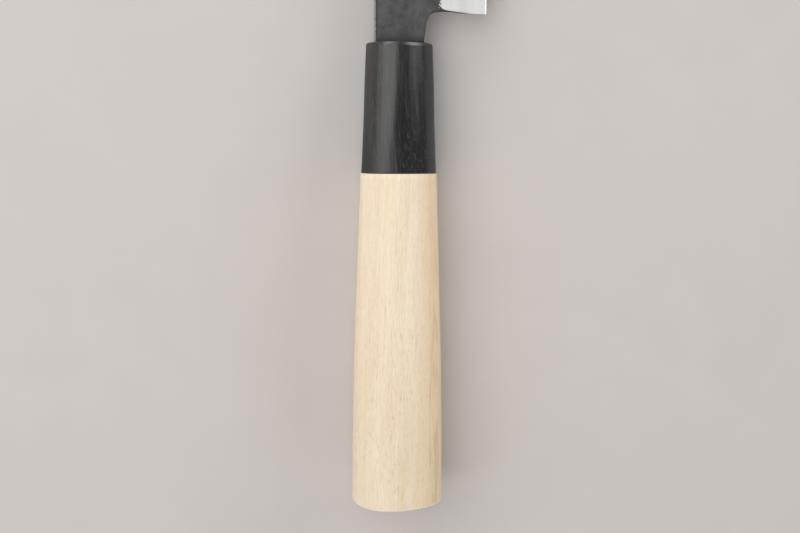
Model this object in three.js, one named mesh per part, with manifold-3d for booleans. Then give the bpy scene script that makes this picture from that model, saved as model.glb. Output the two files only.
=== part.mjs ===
// Kitchen utility knife with a Japanese-style stick-tang handle, lying on its left side.
// The blade is a three-layer forging (hard core between two soft-iron claddings) whose stub tang is bedded in
// resin inside a magnolia-wood grip; a black horn ferrule fits over the grip's tenon and takes the tang's slot.
//
// Knife frame, in millimetres: u runs along the knife from the butt (0) to the tip, v across it
// (+ towards the spine, - towards the edge) and w through it (+ on the right-hand face).
// The finished knife is turned about Y so that the ferrule's lip and the tip both touch the table at z = 0.
import * as THREE from "three";
import { mergeVertices } from "three/addons/utils/BufferGeometryUtils.js";
import Module from "manifold-3d";

const wasm = await Module();
wasm.setup();

// ---- driving dimensions (mm) ----
const GRIP_LENGTH = 88.2; // butt to the ferrule's back edge
const FERRULE_END = 121.36; // butt to the ferrule's front lip
const GLUE_GAP = 0.06; // bond line left between pieces
const SHOULDER_AT = 121.66; // the neck's shoulders stop just short of the lip
const HEEL_AT = 129.05; // butt to the heel's corner
const TIP_AT = 278.7; // butt to the tip
const TIP_V = -3.0;
const SPINE_V = 6.57; // spine above the axis at the neck
const EDGE_V = -22.33; // edge below the axis at the heel
const BEVEL_HEIGHT = 11.75; // edge to grind line at the heel
const CORE_SHARE = 0.33; // core thickness as a share of the blade's
const TANG_END = 54.7;
const HOLE_END = 51.2; // bottom of the tang hole
const TANG_HALF_FRONT = 5.0;
const TANG_HALF_END = 2.2;
const TENON_END = 110.1;
const SOCKET_END = 110.4;
const BUTT_CHAMFER = 0.5;
const MICRO_BEVEL = 0.45; // height of the final bevel along the edge
const LIP_RADIUS = 0.85; // rounding of the ferrule's front edge

// half-width (v) and half-thickness (w) of grip and ferrule along u
const GRIP = [
  [0, 12.2, 10.42],
  [16.7, 12.11, 10.37],
  [27.7, 11.91, 10.27],
  [38.7, 11.7, 10.1],
  [49.7, 11.34, 9.82],
  [70.7, 10.62, 9.23],
  [GRIP_LENGTH, 9.99, 8.75],
];
const FERRULE = [
  [GRIP_LENGTH, 9.81, 8.57],
  [102.2, 9.24, 8.23],
  [112.4, 9.0, 7.98],
  [FERRULE_END, 8.61, 7.76],
];
const AROUND = 44; // facets round an oval section

// half-thickness of the blade at the spine, along u
const SPINE_HALF = [
  [TANG_END - 4, 1.0],
  [SHOULDER_AT, 1.4],
  [136.7, 1.4],
  [180.7, 1.16],
  [225.7, 0.92],
  [258.7, 0.68],
  [TIP_AT + 2, 0.42],
];

// ---- helpers ----
function table(rows, u, column = 1) {
  if (u <= rows[0][0]) return rows[0][column];
  for (let i = 1; i < rows.length; i++)
    if (u <= rows[i][0]) {
      const k = (u - rows[i - 1][0]) / (rows[i][0] - rows[i - 1][0]);
      return rows[i - 1][column] * (1 - k) + rows[i][column] * k;
    }
  return rows[rows.length - 1][column];
}

// Joins rings of equal length into one closed skin with flat caps.
function skin(rings) {
  const n = rings[0].length;
  const points = rings.flat();
  const index = [];
  const quad = (a, b, c, d) => index.push(a, b, c, a, c, d);
  for (let r = 0; r + 1 < rings.length; r++)
    for (let k = 0; k < n; k++)
      quad(r * n + k, r * n + ((k + 1) % n), (r + 1) * n + ((k + 1) % n), (r + 1) * n + k);
  const cap = (ring, start, flip) => {
    const c = ring.reduce((s, p) => s.add(p), new THREE.Vector3()).divideScalar(n);
    points.push(c);
    for (let k = 0; k < n; k++) {
      const a = start + k, b = start + ((k + 1) % n), m = points.length - 1;
      if (flip) index.push(m, b, a);
      else index.push(m, a, b);
    }
  };
  cap(rings[0], 0, true);
  cap(rings[rings.length - 1], (rings.length - 1) * n, false);
  const geometry = new THREE.BufferGeometry().setFromPoints(points);
  geometry.setIndex(index);
  return geometry;
}

function solid(geometry) {
  const g = geometry.index ? geometry.toNonIndexed() : geometry.clone();
  g.deleteAttribute("normal");
  g.deleteAttribute("uv");
  const merged = mergeVertices(g, 1e-4);
  const make = (tris) =>
    new wasm.Manifold(
      new wasm.Mesh({
        numProp: 3,
        vertProperties: new Float32Array(merged.attributes.position.array),
        triVerts: tris,
      }),
    );
  const tris = new Uint32Array(merged.index.array);
  let made = make(tris);
  if (made.volume() < 0) {
    for (let i = 0; i < tris.length; i += 3) [tris[i + 1], tris[i + 2]] = [tris[i + 2], tris[i + 1]];
    made = make(tris);
  }
  return made;
}

function geometryOf(manifold) {
  const m = manifold.getMesh();
  const v = new Float32Array(m.numVert * 3);
  for (let i = 0; i < m.numVert; i++)
    v.set(m.vertProperties.subarray(i * m.numProp, i * m.numProp + 3), i * 3);
  const g = new THREE.BufferGeometry();
  g.setAttribute("position", new THREE.BufferAttribute(v, 3));
  g.setIndex(new THREE.BufferAttribute(new Uint32Array(m.triVerts), 1));
  g.computeVertexNormals();
  return g;
}

// Rounded "chestnut" section: an oval whose right-hand face is fuller towards the spine and falls off flatter towards the edge.
function section(u, a, b) {
  const ring = [];
  for (let k = 0; k < AROUND; k++) {
    const t = (2 * Math.PI * k) / AROUND;
    const c = Math.cos(t), s = Math.sin(t);
    let w = s;
    if (s > 0) w *= 1.024 + 0.193 * c - 0.013 * c ** 2 - 0.115 * c ** 3 - 0.081 * c ** 4;
    ring.push(new THREE.Vector3(u, a * c, b * w));
  }
  return ring;
}

// A four-sided taper between two stations, half sizes in v and w at each.
function taper(u0, v0, w0, u1, v1, w1) {
  const ring = (u, v, w) => [
    new THREE.Vector3(u, v, w),
    new THREE.Vector3(u, -v, w),
    new THREE.Vector3(u, -v, -w),
    new THREE.Vector3(u, v, -w),
  ];
  return solid(skin([ring(u0, v0, w0), ring(u1, v1, w1)]));
}

// Height of a planar curve at station u, found by bisection on its parameter.
function heightAt(curve, u) {
  let lo = 0, hi = 1;
  for (let i = 0; i < 40; i++) {
    const mid = (lo + hi) / 2;
    if (curve.getPoint(mid).x < u) lo = mid;
    else hi = mid;
  }
  return curve.getPoint((lo + hi) / 2).y;
}

// ---- blade ----
const V2 = (x, y) => new THREE.Vector2(x, y);
const spineCurve = new THREE.CubicBezierCurve(V2(HEEL_AT, SPINE_V), V2(190.7, 6.35), V2(246.7, 4.1), V2(TIP_AT, TIP_V));
const edgeCurve = new THREE.CubicBezierCurve(V2(HEEL_AT, EDGE_V), V2(192.7, -22.75), V2(248.7, -19.4), V2(TIP_AT, TIP_V));
const edgeAt = (u) => (u <= HEEL_AT ? EDGE_V : heightAt(edgeCurve, Math.min(u, TIP_AT)));
const spineAt = (u) => (u <= HEEL_AT ? SPINE_V : heightAt(spineCurve, Math.min(u, TIP_AT)));

const bladeStations = [];
for (let u = 133.7; u < 230; u += 8) bladeStations.push(u);
for (let u = 230.7; u < 266; u += 4) bladeStations.push(u);
for (const u of [266.7, 269.7, 272.7, 275.2, 277.2, 278.2]) bladeStations.push(u);

// outline seen square on to the right-hand face, tang included
const outline = new THREE.Shape();
outline.moveTo(SHOULDER_AT, SPINE_V);
outline.lineTo(SHOULDER_AT, TANG_HALF_FRONT);
outline.lineTo(TANG_END + 1.2, TANG_HALF_END);
outline.lineTo(TANG_END, TANG_HALF_END * 0.55);
outline.lineTo(TANG_END, -TANG_HALF_END * 0.55);
outline.lineTo(TANG_END + 1.2, -TANG_HALF_END);
outline.lineTo(SHOULDER_AT, -TANG_HALF_FRONT);
outline.lineTo(SHOULDER_AT, -6.3);
for (const [u, v] of [
  [123.7, -6.55], [125.4, -6.75], [126.6, -6.92], [127.6, -7.2], [128.4, -7.54], [129.0, -7.98], [129.38, -8.6],
  [129.6, -9.3], [129.75, -10.2], [129.79, -11.6], [129.74, -13.0], [129.47, -15.1], [129.3, -16.8], [129.2, -18.6],
])
  outline.lineTo(u, v);
outline.lineTo(HEEL_AT, EDGE_V);
for (const u of bladeStations) outline.lineTo(u, edgeAt(u));
outline.lineTo(TIP_AT, TIP_V);
for (const u of [...bladeStations].reverse()) outline.lineTo(u, spineAt(u));
outline.lineTo(HEEL_AT, SPINE_V);
const slab = solid(
  new THREE.ExtrudeGeometry(outline, { depth: 6, bevelEnabled: false, steps: 1 }).translate(0, 0, -3),
);

// wedge of the blade's thickness: sharp at the edge, a ground bevel up to the grind line, gently tapered flats above it
const wedgeRings = [TANG_END - 3, 90.7, SHOULDER_AT, HEEL_AT, ...bladeStations, TIP_AT + 1].map((u) => {
  const e = edgeAt(u), top = Math.max(spineAt(u), TIP_V) + 2, half = table(SPINE_HALF, u);
  const rise = Math.max(0.6, top - 2 - e);
  const grind = Math.min(BEVEL_HEIGHT, 0.46 * rise + 0.35);
  const side = [
    [e - 0.15, 0.02],
    [e + Math.min(MICRO_BEVEL, 0.3 * grind), 0.17 * Math.min(1, grind / 4)],
    [e + grind, 0.8 * half],
    [top, 1.03 * half],
  ];
  return [
    ...side.map(([v, w]) => new THREE.Vector3(u, v, w)),
    ...side.reverse().map(([v, w]) => new THREE.Vector3(u, v, -w)),
  ];
});
const blade = slab.intersect(solid(skin(wedgeRings)));

// the three layers, split along the core's faces
const layerStations = [TANG_END - 2, SHOULDER_AT, 136.7, 180.7, 225.7, 258.7, TIP_AT + 1];
function layer(low, high) {
  const shape = new THREE.Shape();
  layerStations.forEach((u, i) => (i ? shape.lineTo(u, low(u)) : shape.moveTo(u, low(u))));
  [...layerStations].reverse().forEach((u) => shape.lineTo(u, high(u)));
  const g = new THREE.ExtrudeGeometry(shape, { depth: 60, bevelEnabled: false, steps: 1 });
  // drawn in (u, w), extruded along v
  const p = g.attributes.position;
  for (let i = 0; i < p.count; i++) p.setXYZ(i, p.getX(i), p.getZ(i) - 35, p.getY(i));
  return solid(g);
}
const coreHalf = (u) => CORE_SHARE * table(SPINE_HALF, u);
const core = blade.intersect(layer((u) => -coreHalf(u), (u) => coreHalf(u)));
const cladRight = blade.intersect(layer((u) => coreHalf(u) + 0.02, () => 4));
const cladLeft = blade.intersect(layer(() => -4, (u) => -coreHalf(u) - 0.02));

// ---- grip with its tenon and tang hole ----
const gripRings = [section(0, GRIP[0][1] - BUTT_CHAMFER, GRIP[0][2] - BUTT_CHAMFER)];
for (const u of [BUTT_CHAMFER, 8, 16.7, 27.7, 38.7, 49.7, 60, 70.7, 79.5, GRIP_LENGTH])
  gripRings.push(section(u, table(GRIP, u), table(GRIP, u, 2)));
gripRings.push(section(GRIP_LENGTH, 7.0, 5.6));
gripRings.push(section(TENON_END - 0.8, 6.7, 5.3));
gripRings.push(section(TENON_END, 6.0, 4.7));
const tangHole = taper(HOLE_END, 2.9, 1.9, TENON_END, 5.3, 2.3).add(taper(TENON_END - 1, 5.26, 2.29, TENON_END + 2, 5.3, 2.3));
const grip = solid(skin(gripRings)).subtract(tangHole);

// ---- ferrule with its socket and tang slot ----
const ferruleRings = [];
for (const u of [GRIP_LENGTH + GLUE_GAP, 95.2, 102.2, 107.2, 112.4, 116.7])
  ferruleRings.push(section(u, table(FERRULE, u), table(FERRULE, u, 2)));
const lipAt = FERRULE_END - LIP_RADIUS;
for (const degrees of [0, 25, 50, 70, 90]) {
  const t = THREE.MathUtils.degToRad(degrees);
  const u = lipAt + LIP_RADIUS * Math.sin(t), inset = LIP_RADIUS * (1 - Math.cos(t));
  ferruleRings.push(section(u, table(FERRULE, lipAt) - inset, table(FERRULE, lipAt, 2) - inset));
}
const socket = solid(
  skin([
    section(GRIP_LENGTH - 1, 7.0 + GLUE_GAP + 0.04, 5.6 + GLUE_GAP + 0.04),
    section(SOCKET_END, 6.68 + GLUE_GAP + 0.04, 5.28 + GLUE_GAP + 0.04),
  ]),
);
const slot = taper(SOCKET_END - 2, 5.2, 1.9, FERRULE_END + 2, 5.2, 1.9);
const ferrule = solid(skin(ferruleRings)).subtract(socket).subtract(slot);

// ---- resin that beds the tang ----
const bedding = taper(HOLE_END + 0.1, 2.9 - GLUE_GAP, 1.9 - GLUE_GAP, TENON_END, 5.3 - GLUE_GAP, 2.3 - GLUE_GAP)
  .add(taper(TENON_END - 1, 5.14, 1.84, FERRULE_END - 0.25, 5.14, 1.84))
  .subtract(
    taper(
      TANG_END - 0.2, TANG_HALF_END + 0.07, 1.1,
      FERRULE_END + 2, TANG_HALF_FRONT + 0.1, 1.48,
    ),
  );

// ---- assembly ----
const material = (color, roughness, metalness) => new THREE.MeshStandardMaterial({ color, roughness, metalness });
const knife = new THREE.Group();
function piece(name, manifold, mat) {
  const mesh = new THREE.Mesh(geometryOf(manifold), mat);
  mesh.name = name;
  knife.add(mesh);
}
piece("core_steel", core, material(0xd9dad8, 0.25, 1.0));
piece("cladding_right", cladRight, material(0x3d3e40, 0.55, 0.8));
piece("cladding_left", cladLeft, material(0x3d3e40, 0.55, 0.8));
piece("ferrule", ferrule, material(0x1d1d1f, 0.35, 0.0));
piece("grip", grip, material(0xe2c9a2, 0.6, 0.0));
piece("tang_bedding", bedding, material(0x4a3420, 0.7, 0.0));

// ---- pose on the table: tip down until lip and tip touch, then centre the footprint on the origin ----
const lowest = (mesh, pitch) => {
  const p = mesh.geometry.attributes.position;
  let low = Infinity;
  for (let i = 0; i < p.count; i++) low = Math.min(low, p.getZ(i) * Math.cos(pitch) - p.getX(i) * Math.sin(pitch));
  return low;
};
const node = (name) => knife.children.find((mesh) => mesh.name === name);
let shallow = 0, steep = 0.1;
for (let i = 0; i < 40; i++) {
  const pitch = (shallow + steep) / 2;
  const blade = Math.min(lowest(node("cladding_left"), pitch), lowest(node("core_steel"), pitch));
  if (blade > lowest(node("ferrule"), pitch)) shallow = pitch;
  else steep = pitch;
}
const PITCH = (shallow + steep) / 2;
const part = new THREE.Group();
part.add(knife);
knife.rotation.y = PITCH;
part.updateMatrixWorld(true);
const box = new THREE.Box3().setFromObject(part, true);
knife.position.set(-(box.min.x + box.max.x) / 2, -(box.min.y + box.max.y) / 2, -box.min.z);
part.updateMatrixWorld(true);

export default part;
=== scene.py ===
import functools
import math

import bpy
from mathutils import Matrix, Vector, noise
from mathutils.geometry import delaunay_2d_cdt


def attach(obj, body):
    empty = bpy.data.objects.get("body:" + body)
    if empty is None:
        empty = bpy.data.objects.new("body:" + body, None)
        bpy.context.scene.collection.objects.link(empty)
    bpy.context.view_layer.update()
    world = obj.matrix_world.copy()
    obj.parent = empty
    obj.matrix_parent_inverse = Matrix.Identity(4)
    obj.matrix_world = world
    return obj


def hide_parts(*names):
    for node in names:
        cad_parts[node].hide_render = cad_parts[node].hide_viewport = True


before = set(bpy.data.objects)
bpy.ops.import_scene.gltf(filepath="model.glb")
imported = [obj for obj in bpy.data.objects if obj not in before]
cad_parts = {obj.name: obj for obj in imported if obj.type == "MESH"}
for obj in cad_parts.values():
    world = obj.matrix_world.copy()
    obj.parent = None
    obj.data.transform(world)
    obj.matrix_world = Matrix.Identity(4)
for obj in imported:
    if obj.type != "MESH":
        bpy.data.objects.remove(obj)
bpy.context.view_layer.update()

MM = 0.001

# ------------------------------------------------------------------ knife frame
# u along the knife from the butt, v across it (+ spine), w through it (+ right-hand face), in millimetres.
PITCH = math.radians(2.7011549038314526)
PLACE = Vector((-138.96205352912563, 5.081811904907227, 13.451450191732775)) * MM
KNIFE = Matrix.Translation(PLACE) @ Matrix.Rotation(PITCH, 4, "Y")

GRIP_LENGTH = 88.2
FERRULE_END = 121.36
SHOULDER_AT = 121.66
HEEL_AT = 129.05
TIP_AT = 278.7
TIP_V = -3.0
SPINE_V = 6.57
EDGE_V = -22.33
BEVEL_HEIGHT = 11.75
CORE_SHARE = 0.33
TANG_END = 54.7
HOLE_END = 51.2
LIP_LENGTH = 1.1
LIP_TILT = 25.0
TANG_HALF_FRONT = 5.0
TANG_HALF_END = 2.2
TENON_END = 110.1
SOCKET_END = 110.4
GLUE_GAP = 0.06

GRIP = [(0, 12.2, 10.42), (16.7, 12.11, 10.37), (27.7, 11.91, 10.27), (38.7, 11.7, 10.1), (49.7, 11.34, 9.82), (70.7, 10.62, 9.23), (GRIP_LENGTH, 9.99, 8.75)]
FERRULE = [(GRIP_LENGTH, 9.81, 8.57), (102.2, 9.24, 8.23), (112.4, 9.0, 7.98), (FERRULE_END, 8.61, 7.76)]
SNUG = 0.9985  # skins of grip and ferrule stay a hair inside the built solids
SPINE_HALF = [(TANG_END - 4, 1.0), (SHOULDER_AT, 1.4), (136.7, 1.4), (180.7, 1.16), (225.7, 0.92), (258.7, 0.68), (TIP_AT + 2, 0.42)]


def table(rows, u, column=1):
    if u <= rows[0][0]:
        return rows[0][column]
    for a, b in zip(rows, rows[1:]):
        if u <= b[0]:
            k = (u - a[0]) / (b[0] - a[0])
            return a[column] * (1 - k) + b[column] * k
    return rows[-1][column]


def smooth_table(rows, u, column=1, reach=5.0):
    """The table with its corners rounded, never outside the table itself at its ends."""
    lo, hi = rows[0][0], rows[-1][0]
    r = min(reach, u - lo, hi - u)
    if r <= 0.01:
        return table(rows, u, column)
    n = 6
    return sum(table(rows, u + r * (2 * (k + 0.5) / n - 1), column) for k in range(n)) / n


def smoothstep(a, b, x):
    t = min(1.0, max(0.0, (x - a) / (b - a)))
    return t * t * (3 - 2 * t)


# ------------------------------------------------------------------ node-tree helpers
class Nodes:
    def __init__(self, name):
        self.mat = bpy.data.materials.new(name)
        self.mat.use_nodes = True
        self.t = self.mat.node_tree
        self.t.nodes.clear()
        self.out = self.t.nodes.new("ShaderNodeOutputMaterial")

    def add(self, kind, **props):
        n = self.t.nodes.new(kind)
        for k, v in props.items():
            setattr(n, k, v)
        return n

    def put(self, value, socket):
        if isinstance(value, (int, float, tuple, list)):
            socket.default_value = value
        else:
            self.t.links.new(value, socket)

    def math(self, op, a, b=None, c=None, clamp=False):
        n = self.add("ShaderNodeMath", operation=op, use_clamp=clamp)
        for i, x in enumerate((a, b, c)):
            if x is not None:
                self.put(x, n.inputs[i])
        return n.outputs[0]

    def coords(self):
        """Position on the knife, in millimetres, in the knife frame."""
        tc = self.add("ShaderNodeTexCoord")
        m = self.add("ShaderNodeMapping", vector_type="TEXTURE")
        m.inputs["Location"].default_value = PLACE
        m.inputs["Rotation"].default_value = (0, PITCH, 0)
        m.inputs["Scale"].default_value = (MM, MM, MM)
        self.put(tc.outputs["Object"], m.inputs["Vector"])
        return m.outputs[0]

    def scaled(self, vec, scale, offset=(0, 0, 0)):
        m = self.add("ShaderNodeMapping")
        m.inputs["Scale"].default_value = scale
        m.inputs["Location"].default_value = offset
        self.put(vec, m.inputs["Vector"])
        return m.outputs[0]

    def noise(self, vec, scale=1.0, detail=3.0, rough=0.55, distortion=0.0):
        n = self.add("ShaderNodeTexNoise")
        self.put(vec, n.inputs["Vector"])
        n.inputs["Scale"].default_value = scale
        n.inputs["Detail"].default_value = detail
        n.inputs["Roughness"].default_value = rough
        n.inputs["Distortion"].default_value = distortion
        return n.outputs["Fac"]

    def ramp(self, fac, stops, smooth=False):
        """stops: (position, grey or colour)"""
        n = self.add("ShaderNodeValToRGB")
        n.color_ramp.interpolation = "EASE" if smooth else "LINEAR"
        els = n.color_ramp.elements
        while len(els) < len(stops):
            els.new(0.5)
        for e, (pos, col) in zip(els, stops):
            e.position = pos
            e.color = (col, col, col, 1) if isinstance(col, (int, float)) else (*col, 1)
        self.put(fac, n.inputs[0])
        return n.outputs[0]

    def step(self, x, a, b):
        n = self.add("ShaderNodeMapRange", interpolation_type="SMOOTHSTEP")
        self.put(x, n.inputs["Value"])
        n.inputs["From Min"].default_value = a
        n.inputs["From Max"].default_value = b
        return n.outputs["Result"]

    def remap(self, x, a, b, c, d):
        n = self.add("ShaderNodeMapRange")
        self.put(x, n.inputs["Value"])
        for k, v in zip(("From Min", "From Max", "To Min", "To Max"), (a, b, c, d)):
            n.inputs[k].default_value = v
        return n.outputs["Result"]

    def mix(self, fac, a, b, blend="MIX"):
        n = self.add("ShaderNodeMix", data_type="RGBA", blend_type=blend)
        n.clamp_factor = True
        self.put(fac, n.inputs["Factor"])
        for x, i in ((a, 6), (b, 7)):
            if isinstance(x, (tuple, list)):
                n.inputs[i].default_value = (*x[:3], 1)
            else:
                self.t.links.new(x, n.inputs[i])
        return n.outputs[2]

    def fmix(self, fac, a, b):
        n = self.add("ShaderNodeMix", data_type="FLOAT")
        self.put(fac, n.inputs[0])
        self.put(a, n.inputs[2])
        self.put(b, n.inputs[3])
        return n.outputs[0]

    def split(self, vec):
        n = self.add("ShaderNodeSeparateXYZ")
        self.put(vec, n.inputs[0])
        return n.outputs

    def attribute(self, name):
        n = self.add("ShaderNodeAttribute", attribute_name=name, attribute_type="GEOMETRY")
        return n.outputs["Fac"]

    def bump(self, height, strength, distance, normal=None):
        n = self.add("ShaderNodeBump")
        n.inputs["Strength"].default_value = strength
        n.inputs["Distance"].default_value = distance
        self.put(height, n.inputs["Height"])
        if normal is not None:
            self.put(normal, n.inputs["Normal"])
        return n.outputs[0]

    def shader(self, **sockets):
        n = self.add("ShaderNodeBsdfPrincipled")
        for k, v in sockets.items():
            s = n.inputs[k.replace("_", " ")]
            if isinstance(v, (tuple, list)) and len(v) == 3 and s.type == "RGBA":
                v = (*v, 1)
            self.put(v, s)
        return n

    def done(self, shader):
        self.t.links.new(shader.outputs[0], self.out.inputs["Surface"])
        return self.mat


def srgb(r, g, b):
    def f(c):
        c /= 255.0
        return c / 12.92 if c <= 0.04045 else ((c + 0.055) / 1.055) ** 2.4
    return (f(r), f(g), f(b))


# ------------------------------------------------------------------ materials
WOOD_CREAM = srgb(247, 232, 209)
WOOD_WARM = srgb(241, 222, 195)


def wood_material():
    """Pale magnolia-type wood: even cream ground, soft yellower streaks, fine straight grain and short dark pores."""
    n = Nodes("pale_wood")
    p = n.coords()
    u, v, w = n.split(p)
    # slow wander of the grain along the handle
    wander = n.noise(n.scaled(p, (0.02, 0.05, 0.05)), 1.0, 2.0)
    sway = n.math("MULTIPLY", n.math("SUBTRACT", wander, 0.5), 4.0)
    comb = n.add("ShaderNodeCombineXYZ")
    n.put(u, comb.inputs[0])
    n.put(n.math("ADD", v, sway), comb.inputs[1])
    n.put(n.math("ADD", w, n.math("MULTIPLY", sway, 0.6)), comb.inputs[2])
    g = comb.outputs[0]
    # growth bands: shells round a far-off pith
    gy, gz = n.split(g)[1], n.split(g)[2]
    dy = n.math("SUBTRACT", gy, 34.0)
    dz = n.math("ADD", gz, 52.0)
    dist = n.math("SQRT", n.math("ADD", n.math("MULTIPLY", dy, dy), n.math("MULTIPLY", dz, dz)))
    band = n.math("FRACT", n.math("DIVIDE", n.math("ADD", dist, n.math("MULTIPLY", n.noise(n.scaled(g, (0.03, 0.35, 0.35)), 1.0, 2.0), 1.6)), 3.1))
    late = n.ramp(band, [(0.0, 0.45), (0.16, 0.0), (0.55, 0.12), (0.84, 0.85), (0.92, 1.0), (1.0, 0.45)])
    broad = n.noise(n.scaled(g, (0.010, 0.16, 0.16), (3.1, 0, 0)), 1.0, 2.0)
    honey = n.noise(n.scaled(g, (0.014, 0.55, 0.55), (0, 4.4, 0)), 1.0, 3.0, 0.5)
    streak = n.noise(n.scaled(g, (0.03, 1.5, 1.5)), 1.0, 4.0, 0.6)
    fine = n.noise(n.scaled(g, (0.14, 3.3, 3.3)), 1.0, 4.0, 0.65)
    pores = n.noise(n.scaled(g, (0.42, 3.9, 3.9), (11, 0, 0)), 1.0, 2.0, 0.5)
    pore = n.step(pores, 0.58, 0.72)

    col = n.mix(n.step(broad, 0.36, 0.66), WOOD_CREAM, WOOD_WARM)
    col = n.mix(n.math("MULTIPLY", late, 0.12), col, srgb(226, 200, 163))
    col = n.mix(n.math("MULTIPLY", n.step(honey, 0.50, 0.74), 0.50), col, srgb(234, 211, 169))
    col = n.mix(n.math("MULTIPLY", n.step(streak, 0.52, 0.74), 0.40), col, srgb(222, 196, 158))
    col = n.mix(n.math("MULTIPLY", n.step(streak, 0.46, 0.28), 0.55), col, srgb(251, 239, 220))
    col = n.mix(n.math("MULTIPLY", n.step(fine, 0.54, 0.72), 0.40), col, srgb(211, 184, 147))
    col = n.mix(n.math("MULTIPLY", n.step(fine, 0.44, 0.30), 0.45), col, srgb(252, 241, 223))
    # short grey ticks all over, and darker pores that show most on the lower half of the grip
    ticks = n.noise(n.scaled(g, (0.55, 3.6, 3.6), (4, 8, 1)), 1.0, 3.0, 0.6)
    col = n.mix(n.math("MULTIPLY", n.step(ticks, 0.50, 0.72), n.remap(n.step(u, 70.0, 14.0), 0.0, 1.0, 0.28, 0.42)), col, srgb(204, 182, 150))
    worn = n.remap(n.step(u, 66.0, 18.0), 0.0, 1.0, 0.18, 0.40)
    col = n.mix(n.math("MULTIPLY", pore, worn), col, srgb(172, 145, 110))
    # a browner streak of heartwood along the edge side of the right-hand face, strongest near the butt
    hv = n.math("ADD", gy, n.math("MULTIPLY", n.math("SUBTRACT", n.noise(n.scaled(g, (0.05, 0.4, 0.4)), 1.0, 3.0), 0.5), 2.4))
    heart = n.math("MULTIPLY", n.step(hv, -6.8, -9.0), n.step(hv, -11.6, -9.4))
    heart = n.math("MULTIPLY", heart, n.math("MULTIPLY", n.step(w, 0.0, 2.0), n.remap(n.step(u, 78.0, 20.0), 0.0, 1.0, 0.15, 1.0)))
    heart = n.math("MULTIPLY", heart, n.step(n.noise(n.scaled(p, (0.09, 0.9, 0.9), (2.7, 0, 0)), 1.0, 4.0, 0.6), 0.46, 0.64))
    col = n.mix(n.math("MULTIPLY", heart, 0.82), col, srgb(188, 156, 115))
    tinge = n.math("MULTIPLY", n.step(v, -1.0, -8.5), n.remap(n.step(u, 80.0, 30.0), 0.0, 1.0, 0.26, 0.38))
    col = n.mix(tinge, col, srgb(233, 202, 151))
    # handled wood greys slightly towards the butt
    col = n.mix(n.math("MULTIPLY", n.step(u, 62.0, 4.0), 0.30), col, srgb(222, 204, 178))
    # painted highlight: the butt's eased rim is painted paler
    col = n.mix(n.math("MULTIPLY", n.step(u, 0.75, 0.30), 0.65), col, srgb(253, 243, 226))
    # end grain is darker
    geo = n.add("ShaderNodeNewGeometry")
    along = n.add("ShaderNodeVectorMath", operation="DOT_PRODUCT")
    n.put(geo.outputs["Normal"], along.inputs[0])
    along.inputs[1].default_value = (math.cos(PITCH), 0, -math.sin(PITCH))
    nu = n.math("ABSOLUTE", along.outputs["Value"])
    end = n.math("MULTIPLY", n.step(nu, 0.93, 0.985), n.step(u, 5.0, 3.0))
    dots = n.noise(n.scaled(p, (0.5, 4.2, 4.2)), 1.0, 3.0, 0.6)
    endcol = n.mix(n.step(dots, 0.45, 0.68), srgb(222, 196, 160), srgb(186, 154, 114))
    endcol = n.mix(n.math("MULTIPLY", late, 0.45), endcol, srgb(178, 142, 100))
    col = n.mix(n.math("MULTIPLY", end, 0.85), col, endcol)

    rough = n.remap(n.math("ADD", n.math("MULTIPLY", fine, 0.6), n.math("MULTIPLY", streak, 0.4)), 0.3, 0.7, 0.48, 0.66)
    h = n.math("SUBTRACT", n.math("ADD", n.math("MULTIPLY", fine, 0.5), n.math("MULTIPLY", streak, 0.35)), n.math("MULTIPLY", pore, 0.55))
    bump = n.bump(h, 0.30, 0.00008)
    return n.done(n.shader(Base_Color=col, Roughness=rough, Normal=bump, Specular_IOR_Level=0.3))


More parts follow.
